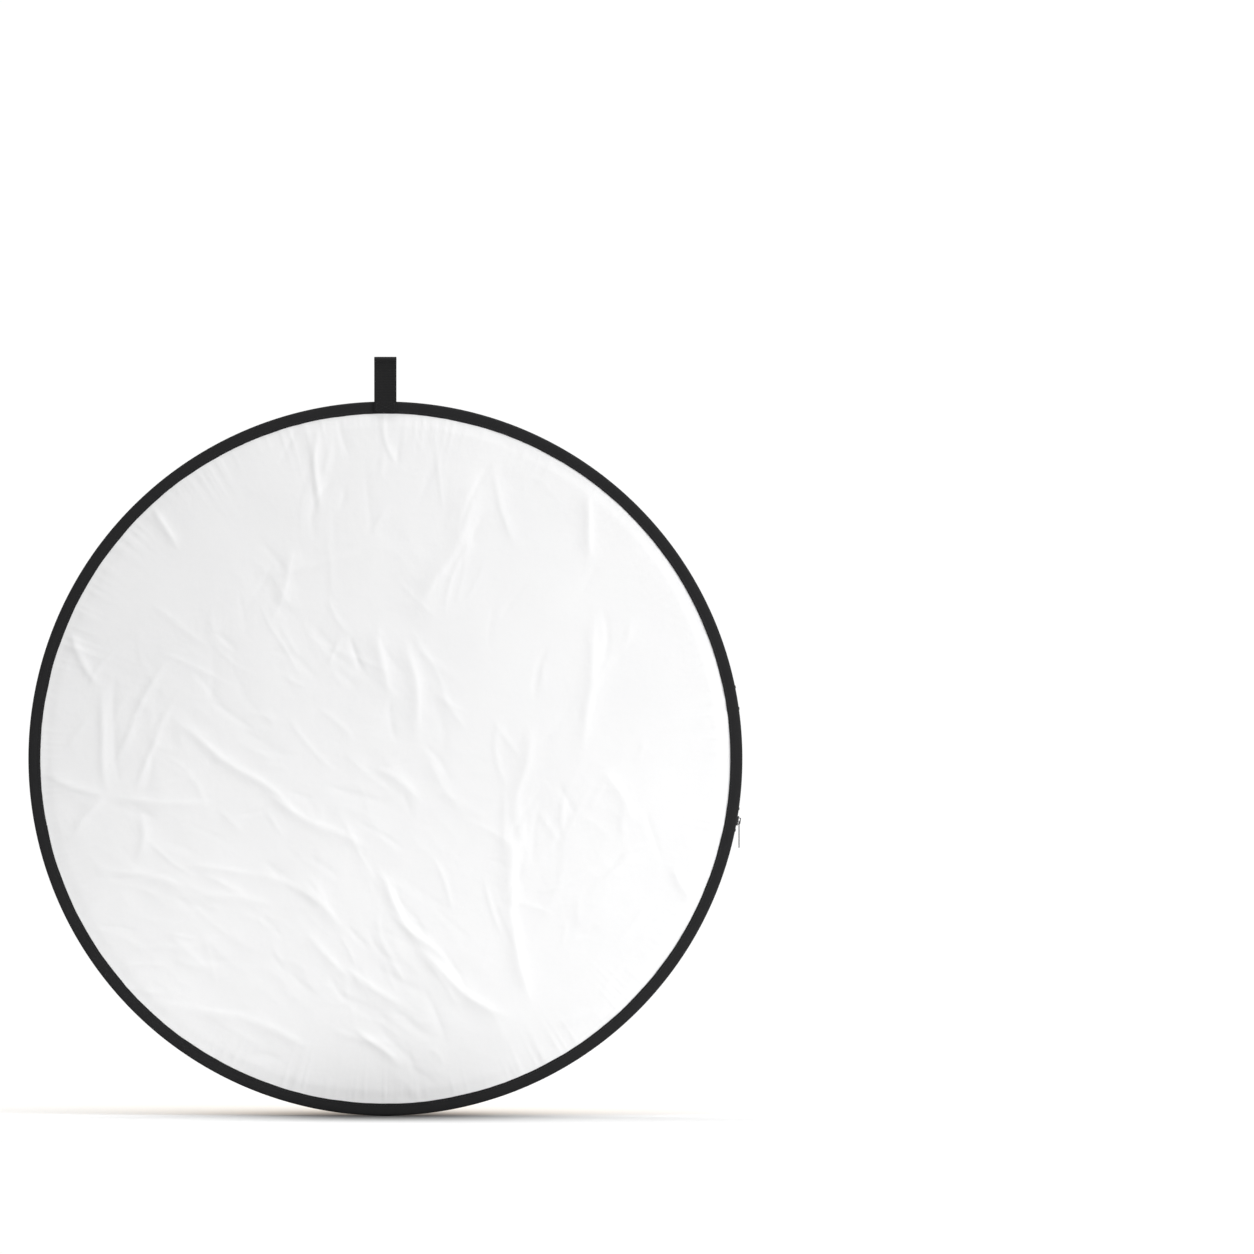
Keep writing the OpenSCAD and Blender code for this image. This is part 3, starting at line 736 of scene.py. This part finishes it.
frontStitches = ringStitches("frontStitches", stitchR, faceH - 0.12 * mm, 1, 2.0, threadBlack)
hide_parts("front_stitching")
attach(frontStitches, "front_panel")
backStitches = ringStitches("backStitches", stitchR, faceH - 0.12 * mm, -1, 0, threadBlack)
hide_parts("back_stitching")
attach(backStitches, "back_panel")
coreStitchR = coreInR + 1.8 * mm
coreFront = ringStitches("coreStitchesFront", coreStitchR, 1.0 * mm, 1, 1.9, threadBlack)
coreBack = ringStitches("coreStitchesBack", coreStitchR, 1.0 * mm, -1, 0, threadBlack)
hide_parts("core_stitching")
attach(coreFront, "core")
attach(coreBack, "core")
print("reflector: rims stitched")

# zip coils
coil = {"pitch": 1.45 * mm, "wire": 0.29 * mm, "turnPoints": 9, "sides": 4, "half": 0.5 * mm,
        "head": -0.10 * mm, "tail": 2.2 * mm}
frontCoilBox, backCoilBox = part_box("front_zip_coil"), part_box("back_zip_coil")


# nylon wire wound in a flat helix along the tape's edge
def zipCoil(name, endDeg, side, material):
    span = math.radians(360 - 2 * endDeg)
    turns = int(span * tapeR / coil["pitch"])
    angle = math.radians(endDeg) + np.linspace(0, 1, turns * coil["turnPoints"]) * span
    phase = angle * tapeR / coil["pitch"] * 2 * np.pi + (np.pi if side < 0 else 0)
    wire = coil["wire"]
    middleH, swing = (coil["tail"] + coil["head"]) / 2, (coil["tail"] - coil["head"]) / 2 - wire
    r = tapeR + coil["half"] + (coil["half"] - wire) * np.sin(phase)
    h = side * (middleH + swing * np.cos(phase))
    path = discPoint(r, angle, h)
    forward = np.gradient(path, axis=0)
    forward /= np.linalg.norm(forward, axis=1)[:, None]
    outward = path - discPoint(tapeR + coil["half"], angle, side * middleH)
    outward -= (outward * forward).sum(1)[:, None] * forward
    outward /= np.linalg.norm(outward, axis=1)[:, None]
    beside = np.cross(forward, outward)
    a = np.linspace(0, 2 * np.pi, coil["sides"] + 1)[:-1] + np.pi / 4
    spread = np.cos(a)[None, :, None] * outward[:, None] + np.sin(a)[None, :, None] * beside[:, None]
    rings = path[:, None] + wire * spread
    return sweep(name, rings, np.arange(len(path)) * 0.1 * mm, material)


# how far from the middle of the sewn stretch a coil starts, in degrees
def endAngle(box):
    return math.degrees(math.acos(min(1.0, (box[1].x - discX) / (tapeR + 1 * mm))))


frontCoil = zipCoil("frontCoil", endAngle(frontCoilBox), 1, coilFinish)
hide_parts("front_zip_coil")
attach(frontCoil, "front_panel")
backCoil = zipCoil("backCoil", endAngle(backCoilBox), -1, coilFinish)
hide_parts("back_zip_coil")
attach(backCoil, "back_panel")
print("reflector: zip coils wound")

zipTape = {"thick": 0.7 * mm, "low": 0.55 * mm, "high": 5.2 * mm, "startDeg": 7.2, "steps": 700}
tapeInR = tapeR - zipTape["thick"]
tapeSection = np.array([(tapeInR, -zipTape["low"]), (tapeR, -zipTape["low"]), (tapeR, -zipTape["high"]),
                        (tapeInR, -zipTape["high"])])
backTape = ringSweep("backZipTape", tapeSection, zipTape["startDeg"], 360 - zipTape["startDeg"],
                     zipTape["steps"], zipTapeFinish)
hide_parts("back_zip_tape")
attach(backTape, "back_panel")

# slider and pull
slider = {"half": 5.5 * mm, "wide": 3.4 * mm, "plate": 1.2 * mm, "bend": 0.3 * mm, "bridge": 3.45 * mm,
          "flange": (5.1 * mm, 0.48 * mm), "wedge": (1.5 * mm, 0.25 * mm)}
pullAt = joints["pull_flip"]["pos_m"]
parkAngle = math.atan2(pullAt[2] - discZ, pullAt[0] - discX)
pullR = math.hypot(pullAt[2] - discZ, pullAt[0] - discX)


# a point beside the parked slider: along the chain, out from the disc's axis, and towards the front
def atSlider(along, r, h):
    along, r, h = np.broadcast_arrays(along, r, h)
    return np.stack([discX + r * math.cos(parkAngle) - along * math.sin(parkAngle), discY - h,
                     discZ + r * math.sin(parkAngle) + along * math.cos(parkAngle)], axis=-1)


# a block with soft corners and edges, standing out from the chain; taper narrows it to one end
def roundBlock(middle, half, lowR, highR, bend, taper=0.0, count=40):
    a = np.linspace(0, 2 * np.pi, count, endpoint=False)
    along = np.sign(np.cos(a)) * np.abs(np.cos(a)) ** 0.3
    across = np.sign(np.sin(a)) * np.abs(np.sin(a)) ** 0.3 * (1 - taper + taper * along)
    levels = [(lowR, bend), (lowR + bend * 0.3, bend * 0.3), (lowR + bend, 0.0), (highR - bend, 0.0),
              (highR - bend * 0.3, bend * 0.3), (highR, bend)]
    rings = [atSlider(middle[0] + along * (half[0] - inset), r, middle[1] + across * (half[1] - inset))
             for r, inset in levels]
    faces, _ = gridCorners(len(levels), count, False, True)
    last = (len(levels) - 1) * count
    caps = np.stack([np.arange(count)[::-1], last + np.arange(count)])
    return np.concatenate(rings), faces, caps


# several blocks in one mesh
def joinBlocks(name, blocks, material):
    points, sides, caps, start = [], [], [], 0
    for blockPoints, blockSides, blockCaps in blocks:
        points.append(blockPoints)
        sides.append(blockSides + start)
        caps.append(blockCaps + start)
        start += len(blockPoints)
    return addMesh(name, np.concatenate(points), [np.concatenate(sides)] + caps, None, material)


# the loop over the slider that holds the pull: a rounded bar, up, over and down
def bridgeBlock(reach, footR, roofR, count=14):
    corner = 1.0 * mm
    left = np.stack([-reach + corner - corner * np.cos(np.radians(np.linspace(0, 90, 6))),
                     roofR - corner + corner * np.sin(np.radians(np.linspace(0, 90, 6)))], axis=1)
    path = np.concatenate([[(-reach, footR)], left, (left * (-1, 1))[::-1], [(reach, footR)]])
    way = np.gradient(path, axis=0)
    way /= np.linalg.norm(way, axis=1)[:, None]
    a = np.linspace(0, 2 * np.pi, count, endpoint=False)
    lift = np.sign(np.sin(a)) * np.abs(np.sin(a)) ** 0.5 * 0.55 * mm
    side = np.sign(np.cos(a)) * np.abs(np.cos(a)) ** 0.5 * 1.0 * mm
    along = path[:, None, 0] - lift[None] * way[:, None, 1]
    r = path[:, None, 1] + lift[None] * way[:, None, 0]
    faces, _ = gridCorners(len(path), count, False, True)
    caps = np.stack([np.arange(count)[::-1], (len(path) - 1) * count + np.arange(count)])
    return atSlider(along, r, side[None]).reshape(-1, 3), faces, caps


plateR = pullR - 0.75 * mm                         # top of the outer plate, just under the pull's bar
flangeH = slider["wide"] - slider["flange"][1]
flangeR = (tapeR + 0.3 * mm, plateR - 0.5 * mm, 0.15 * mm)          # from, to, and how round
plateHalf = (slider["half"], slider["wide"])
zipSlider = joinBlocks("zipSlider", [
    roundBlock((0, 0), plateHalf, plateR - slider["plate"], plateR, slider["bend"], 0.07),
    roundBlock((0, 0), plateHalf, tapeR - 2.2 * mm, tapeR - 1.0 * mm, slider["bend"], 0.07),
    roundBlock((0, flangeH - 0.15 * mm), slider["flange"], *flangeR),
    roundBlock((0, 0.15 * mm - flangeH), slider["flange"], *flangeR),
    roundBlock((0, 0), slider["wedge"], tapeR - 1.4 * mm, plateR - 0.6 * mm, 0.05 * mm),
    bridgeBlock(slider["bridge"], plateR - 0.5 * mm, pullR + 1.3 * mm)], zipMetal)
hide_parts("zip_slider")
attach(zipSlider, "slider")


# a flat pull with rounded corners and a window under its bar: one loop of section round the window
def pullPlate(length, half, thick, window, bend=0.28 * mm):
    corner = np.radians(np.linspace(0, 90, 7))
    topC, endC = 0.9 * mm, 2.0 * mm
    right = np.concatenate([
        np.stack([half - topC + topC * np.sin(corner), thick / 2 - topC + topC * np.cos(corner)], axis=1),
        np.stack([np.full(12, half), -np.linspace(1.5 * mm, length - 3 * mm, 12)], axis=1),
        np.stack([half - endC + endC * np.cos(corner), -length + endC - endC * np.sin(corner)], axis=1)])
    outer = np.concatenate([[(0, thick / 2)], right, [(0, -length)], (right * (-1, 1))[::-1]])
    low, high = window
    middle = np.array([0, -(low + high) / 2])
    angle = np.arctan2(outer[:, 1] - middle[1], outer[:, 0])
    windowHalf, tall = 1.2 * mm, (high - low) / 2
    reach = (np.abs(np.cos(angle) / windowHalf) ** 5 + np.abs(np.sin(angle) / tall) ** 5) ** -0.2
    way = np.stack([np.cos(angle), np.sin(angle)], axis=1)
    inner = middle + way * reach[:, None]
    flat = thick / 2
    loop = [(outer, bend - flat), (outer, flat - bend), (outer - way * bend, flat),
            (inner + way * bend, flat), (inner, flat - bend), (inner, bend - flat),
            (inner + way * bend, -flat), (outer - way * bend, -flat)]
    sections = np.stack([np.stack([pullAt[0] + depth + 0 * spot[:, 0], pullAt[1] + spot[:, 0],
                                   pullAt[2] + spot[:, 1]], axis=1) for spot, depth in loop], axis=1)
    faces, _ = gridCorners(len(outer), len(loop), True, True)
    return sections, faces


pull = {"length": 30 * mm, "half": 3 * mm, "thick": 1.1 * mm, "window": (0.55 * mm, 7.6 * mm)}
pullPoints, pullFaces = pullPlate(**pull)
zipPull = addMesh("zipPull", pullPoints, [pullFaces], None, zipMetal)
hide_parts("zip_pull")
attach(zipPull, "pull")
print("reflector: slider and pull made")

# sewn gusset
gusset = {"halfDeg": 7.0, "rows": 30, "points": 33, "thick": 0.6 * mm, "half": 5.0 * mm, "inset": 0.35 * mm,
          "bulge": 0.95 * mm, "edge": (3.3 * mm, 4.1 * mm)}


# a strip from inside one binding to inside the other, bulging out level with their walls
def gussetSheet():
    h = np.linspace(gusset["half"], -gusset["half"], gusset["points"])
    r = tapeR - gusset["inset"] + gusset["bulge"] * (1 - smooth(np.abs(h), *gusset["edge"]))
    outer = np.stack([r, h], axis=1)
    section = np.concatenate([outer, (outer - [gusset["thick"], 0])[::-1]])
    angle = np.radians(np.linspace(-gusset["halfDeg"], gusset["halfDeg"], gusset["rows"]))
    sections = discPoint(section[None, :, 0], angle[:, None], section[None, :, 1])
    return sweep("hingeGusset", sections, angle * rimR, bindingFinish)


gussetPiece = gussetSheet()
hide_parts("hinge_gusset")
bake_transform(gussetPiece)

# webbing tabs
tab = {"width": 25 * mm, "layer": 1.0 * mm, "eye": 2.7 * mm, "neck": 9 * mm, "gap": 0.02 * mm,
       "core": 1.5 * mm}


# a flat strap whose middle line is path, as (r, h) points: a rounded bar section at each point
def strapSections(path, width, thick, widthPoints=13):
    forward = np.gradient(path, axis=0)
    forward /= np.linalg.norm(forward, axis=1)[:, None]
    normal = np.stack([-forward[:, 1], forward[:, 0]], axis=1)
    half = width / 2 - thick / 2
    across = np.linspace(-half, half, widthPoints)
    a = np.radians(np.linspace(-60, 60, 4))
    side = np.concatenate([across, half + thick / 2 * np.cos(a), across[::-1], -half - thick / 2 * np.cos(a)])
    flat = np.full(widthPoints, thick / 2)
    lift = np.concatenate([-flat, thick / 2 * np.sin(a), flat, -thick / 2 * np.sin(a)])
    r = path[:, None, 0] + lift[None] * normal[:, None, 0]
    h = path[:, None, 1] + lift[None] * normal[:, None, 1]
    return np.stack([np.broadcast_to(discX + side[None], r.shape), discY - h, discZ + r], axis=-1)


# how far along the path each of its points lies
def lengthsOf(path):
    return np.concatenate([[0], np.cumsum(np.linalg.norm(np.diff(path, axis=0), axis=1))])


# up from the foot, round the eye and down again, with the two layers lying together below the eye
def coverTabPath():
    eyeR, meanR = -discZ, tab["eye"]               # the eye's height above the axis, and the fold's radius
    middle, half = faceH + tab["layer"], tab["layer"] / 2 + tab["gap"]
    foot = tabBox[0].z - discZ
    below = np.linspace(foot, eyeR - tab["neck"], 14)
    backLayer = np.stack([below, np.full_like(below, middle - half)], axis=1)
    eye = arc(eyeR, middle, meanR, -145, 145, 18)
    frontLayer = np.stack([below[::-1], np.full_like(below, middle + half)], axis=1)
    return np.concatenate([backLayer, eye, frontLayer])


tabPath = coverTabPath()
coverTab = sweep("coverTab", strapSections(tabPath, tab["width"], tab["layer"]), lengthsOf(tabPath),
                 webbingFinish, flip=True)
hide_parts("cover_tab")
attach(coverTab, "front_panel")


# origins and direction of stitches from one point to another, in disc units
def straightStitches(x0, z0, x1, z1, pitch):
    count = max(2, int(round(math.hypot(x1 - x0, z1 - z0) / pitch)))
    t = (np.arange(count) + 0.5) / count
    origins = np.stack([x0 + (x1 - x0) * t, z0 + (z1 - z0) * t], axis=1)
    direction = np.array([x1 - x0, z1 - z0]) / math.hypot(x1 - x0, z1 - z0)
    return origins, np.tile(direction, (count, 1))


# straight rows of stitches on a face at this height
def sewLines(name, lines, height, material):
    rows = [straightStitches(*line, stitch["tabPitch"]) for line in lines]
    spots, ways = (np.concatenate([row[i] for row in rows]) for i in range(2))
    level = np.full(len(spots), discY - height)
    origins = np.stack([discX + spots[:, 0], level, discZ + spots[:, 1]], axis=1)
    forward = np.stack([ways[:, 0], np.zeros(len(ways)), ways[:, 1]], axis=1)
    up = np.tile([0.0, -1.0, 0.0], (len(ways), 1))
    return sewRow(name, origins, forward, up, material, stitch["tabLength"])


tackW = 10 * mm
tackLow, tackHigh = rimInR + 2.2 * mm, rimR - 1.8 * mm
eyeRow = -discZ - 6.5 * mm
tackLines = [(-tackW, tackLow, tackW, tackLow), (tackW, tackLow, tackW, tackHigh),
             (tackW, tackHigh, -tackW, tackHigh), (-tackW, tackHigh, -tackW, tackLow),
             (-tackW, tackLow, tackW, tackHigh), (-tackW, tackHigh, tackW, tackLow),
             (-tackW, eyeRow, tackW, eyeRow)]
tabStitches = sewLines("tabStitches", tackLines, faceH + 2 * tab["layer"] + 0.1 * mm, threadBlack)
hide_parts("cover_tab_stitching")
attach(tabStitches, "front_panel")


# from its seam on the core's lip, out over the rim's slope and down in front of the cloth
def coreTabPath():
    hinge = joints["core_tab_lift"]["pos_m"]
    hingeR = hinge[2] - discZ
    hang = discY - (coreTabBox[0].y + coreTabBox[1].y) / 2
    seam = np.array([(coreInR + 3.6 * mm, 1.9 * mm), (coreInR + 1.8 * mm, 1.9 * mm)])
    turn = np.array([(coreInR + 0.2 * mm, 2.2 * mm), (hingeR - 0.6 * mm, hang - 0.5 * mm),
                     (hingeR - 2.2 * mm, hang)])
    down = np.linspace(hingeR - 4 * mm, coreTabBox[0].z - discZ, 26)
    return np.concatenate([seam, turn, np.stack([down, np.full_like(down, hang)], axis=1)])


coreTabLine = coreTabPath()
coreTab = sweep("coreTab", strapSections(coreTabLine, tab["width"], tab["core"]), lengthsOf(coreTabLine),
                webbingFinish, flip=True)
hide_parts("core_tab", "core_tab_foot")
hingeZ = joints["core_tab_lift"]["pos_m"][2]
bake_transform(coreTab)
coreTabTop = discY - coreTabBox[0].y
lowRow, highRow = coreTabBox[0].z - discZ + 4.3 * mm, hingeZ - discZ - 5 * mm
coreTabRows = [(-tackW, lowRow, tackW, lowRow), (-tackW, highRow, tackW, highRow)]
coreTabStitches = sewLines("coreTabStitches", coreTabRows, coreTabTop + 0.05 * mm, threadBlack)
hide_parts("core_tab_stitching")
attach(coreTabStitches, "core_strap")
print("reflector: tabs sewn")

# CAD nodes that stay
stays = {
    "front_zip_tape": zipTapeFinish, "front_zip_stops": zipMetal,
    "back_zip_stops": zipMetal, "hoop_band": springSteel, "hoop_splice_sleeve": springSteel,
    "splice_rivets": rivetMetal,
}
for node, finish in stays.items():
    mesh = frame["nodes"][node].data
    mesh.materials.clear()
    mesh.materials.append(finish)

# room, lights and camera
scene = bpy.context.scene
scene.view_settings.view_transform = "Standard"
scene.view_settings.look = "None"

room = {"sky": 0.37, "shown": 1.03, "shine": 0.95, "floor": 0.80, "half": 30, "fade": (0.4, 1.0),
        "shade": 0.86, "shadeX": 0.17, "shadeY": 0.14, "key": 57.0, "back": 50.0, "top": 66.0, "fill": 29.0}
floorZ = cadBox[0].z - 0.4 * mm
floorMesh = bpy.data.meshes.new("floor")
floorCorners = [(x * room["half"], y * room["half"], floorZ) for x, y in ((-1, -1), (1, -1), (1, 1), (-1, 1))]
floorMesh.from_pydata(floorCorners, [], [(0, 1, 2, 3)])
floor = bpy.data.objects.new("floor", floorMesh)
scene.collection.objects.link(floor)
paper = Finish("paperFloor", Specular_IOR_Level=0.0)
pale = paper.mix(paper.noise(paper.place(), 1.5, 2.0), (room["floor"],) * 3, (room["floor"] + 0.02,) * 3)
# a painted shadow: the floor's colour darkened in a soft patch under the rim, where next to no light comes
shadeX, shadeY = room["shadeX"], room["shadeY"]
near = paper.add("Mapping", {}, {"Vector": paper.place(), "Scale": (1 / shadeX, 1 / shadeY, 0)})
near = paper.vector("DISTANCE", near, (discX / shadeX, discY / shadeY, 0), "Value")
shade = 1.0 - room["shade"] * near.math("EXPONENT", near * near * -1.0)
paper.feed("Base Color", paper.mix(shade, (0.0, 0.0, 0.0), pale))
paper.feed("Roughness", paper.noise(paper.place(), 3.0) * 0.1 + 0.85)
spread = paper.vector("DISTANCE", paper.place(), (discX, discY, floorZ), "Value")
fade = paper.add("MapRange", {"interpolation_type": "SMOOTHSTEP"},
                 {"Value": spread, "From Min": room["fade"][0], "From Max": room["fade"][1]})
faded = paper.add("MixShader", {}, {0: fade, 1: paper.shader, 2: paper.add("BsdfTransparent")})
floorMesh.materials.append(paper.end(faded))

# the room's white: full strength where it is seen, less in glossy surfaces, and least as light on the disc
world = bpy.data.worlds.new("studio")
scene.world = world
world.use_nodes = True
sky = Nodes(world.node_tree)
glossy = sky.add("LightPath", result="Is Glossy Ray") * room["shine"]
bright = glossy.math("MAXIMUM", sky.add("LightPath", result="Is Camera Ray"), glossy)
lit = sky.add("Background", {}, {"Color": (1, 1, 1, 1), "Strength": room["sky"]})
shown = sky.add("Background", {}, {"Color": (1, 1, 1, 1), "Strength": room["shown"]})
sky.add("OutputWorld", {}, {"Surface": sky.add("MixShader", {}, {0: bright, 1: lit, 2: shown})})


# a square area light at spot, facing target
def softLight(name, spot, target, size, power):
    lamp = bpy.data.lights.new(name, "AREA")
    lamp.shape = "SQUARE"
    lamp.size = size
    lamp.energy = power
    holder = bpy.data.objects.new(name, lamp)
    way = np.subtract(target, spot)
    tip, turn = math.atan2(math.hypot(way[0], way[1]), -way[2]), math.atan2(way[0], -way[1]) + math.pi
    holder.location = spot
    holder.rotation_euler = (tip, 0, turn)
    scene.collection.objects.link(holder)


middle = (discX, discY, discZ)
softLight("keyLight", (discX + 2.4, discY - 1.15, discZ + 0.55), middle, 1.0, room["key"])
softLight("backKey", (discX - 2.4, discY + 1.15, discZ + 0.55), middle, 1.0, room["back"])
softLight("overhead", (discX, discY, floorZ + 3.2), (discX, discY, floorZ), 2.4, room["top"])
softLight("frontFill", (discX - 0.6, discY - 4.2, floorZ + 0.3), middle, 2.5, room["fill"])
softLight("backFill", (discX + 0.6, discY + 4.2, floorZ + 0.3), middle, 2.5, room["fill"])

# the frame is this wide at the disc, whose centre lies left of the frame's and below it by these shares
view = {"width": 1.405, "left": 0.1926, "below": 0.1049, "distance": 14.0}
lens = bpy.data.cameras.new("camera")
camera = bpy.data.objects.new("camera", lens)
scene.collection.objects.link(camera)
camera.location = (discX + view["left"] * view["width"], discY - view["distance"],
                   discZ + view["below"] * view["width"])
camera.rotation_euler = (math.pi / 2, 0, 0)
lens.sensor_width = 36
lens.lens = lens.sensor_width * view["distance"] / view["width"]
lens.clip_end = 200
scene.camera = camera
print("reflector: room lit")
